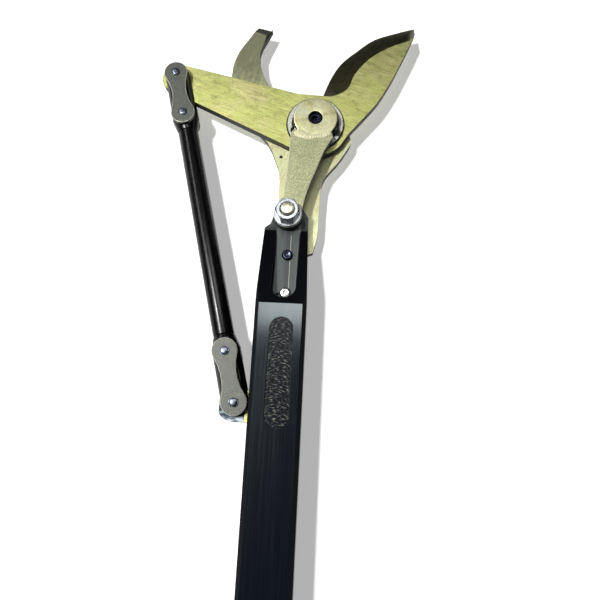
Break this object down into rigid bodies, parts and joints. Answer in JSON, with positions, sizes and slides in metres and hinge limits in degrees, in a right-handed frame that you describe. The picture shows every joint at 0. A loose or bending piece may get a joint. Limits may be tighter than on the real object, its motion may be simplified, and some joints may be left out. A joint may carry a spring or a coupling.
{
  "type": "hydraulic lopper",
  "caption": "Hydraulic pole lopper: bypass blade and hook on a square black bar, worked by a forked push rod, with pole, grip and trigger handle",
  "frame": {"origin": "on the bar's back face, on its middle line, where the front ramp begins", "axes": "+Y runs along the bar towards the jaws, +X is the blade's side, +Z is the front that carries the nut and the disc"},
  "size_m": [0.2155, 1.2925, 0.0457],
  "materials": {
    "black_anodised": "black anodised, satin",
    "black_paint": "black, glossy",
    "yellow_zinc": "zinc plated and yellow passivated",
    "blasted_steel": "sand blasted, grey-green",
    "bright_steel": "bright zinc or polished",
    "link_steel": "matte grey",
    "dark_steel": "black oxide",
    "bronze": "plain",
    "plain_aluminium": "plain, turned",
    "black_rubber": "matte"
  },
  "bodies": {
    "tool_body": {"body_bar": "black_anodised", "hook_plate": "yellow_zinc", "front_arm": "blasted_steel", "hub_disc": "yellow_zinc", "thrust_ring": "bright_steel", "pivot_bolt": "dark_steel", "pivot_washer": "bright_steel", "arm_bolt": "bright_steel", "arm_washer": "bright_steel", "arm_nut": "bright_steel", "tail_screw": "dark_steel", "tail_pin": "bright_steel", "rod_gland": "plain_aluminium", "gland_seal": "black_rubber", "end_cap": "black_anodised", "cap_screw_1": "bright_steel", "cap_screw_2": "bright_steel", "cap_screw_3": "bright_steel", "cap_screw_4": "bright_steel", "pole_screw": "bright_steel", "pole_tube": "black_anodised", "pressure_pipe": "bright_steel", "return_pipe": "bright_steel", "front_grip": "black_rubber", "valve_handle": "black_anodised", "trigger_pin": "bright_steel", "pressure_fitting": "bronze", "return_fitting": "bronze"},
    "blade": {"cutting_blade": "yellow_zinc", "hub_bush": "bronze", "lever_bush": "bronze"},
    "carriage": {"carriage_lug": "yellow_zinc", "lug_bush": "bronze", "slide_ring": "bronze", "piston_rod": "bright_steel", "piston": "bright_steel", "piston_seal": "black_rubber", "piston_nut": "bright_steel"},
    "push_rod": {"rod_bar": "black_paint", "upper_fork": "black_paint", "lower_fork": "black_paint", "upper_link_front": "link_steel", "upper_link_back": "link_steel", "lower_link_front": "link_steel", "lower_link_back": "link_steel", "lug_pin": "bright_steel", "lower_link_pin": "bright_steel", "upper_link_pin": "bright_steel", "lever_pin_front": "bright_steel", "lever_pin_back": "bright_steel"},
    "trigger_lever": {"trigger": "black_paint"},
    "valve": {"valve_stem": "bright_steel"}
  },
  "joints": [
    {"name": "blade_hinge", "type": "hinge", "parent": "tool_body", "child": "blade", "pos_m": [0.0189, 0.1556, 0.019], "axis": [0, 0, 1], "range_deg": [0, 72]},
    {"name": "carriage_slide", "type": "slide", "parent": "tool_body", "child": "carriage", "axis": [0, -1, 0], "range_m": [0, 0.1488]},
    {"name": "rod_hinge", "type": "hinge", "parent": "carriage", "child": "push_rod", "pos_m": [-0.03024, -0.07271, 0.019], "axis": [0, 0, 1], "range_deg": [-9.6, 1.5]},
    {"name": "trigger_hinge", "type": "hinge", "parent": "tool_body", "child": "trigger_lever", "pos_m": [-0.025, -0.9889, 0.019], "axis": [0, 0, -1], "range_deg": [0, 5.5], "stiffness_Nm_per_rad": 0.4},
    {"name": "stem_slide", "type": "slide", "parent": "tool_body", "child": "valve", "axis": [1, 0, 0], "range_m": [0, 0.0026]}
  ],
  "couplings": [
    {"joint": "carriage_slide", "follows": "blade_hinge", "m_per_rad": 0.11813},
    {"joint": "rod_hinge", "follows": "blade_hinge", "ratio": -0.13031},
    {"joint": "stem_slide", "follows": "trigger_hinge", "m_per_rad": 0.024}
  ]
}
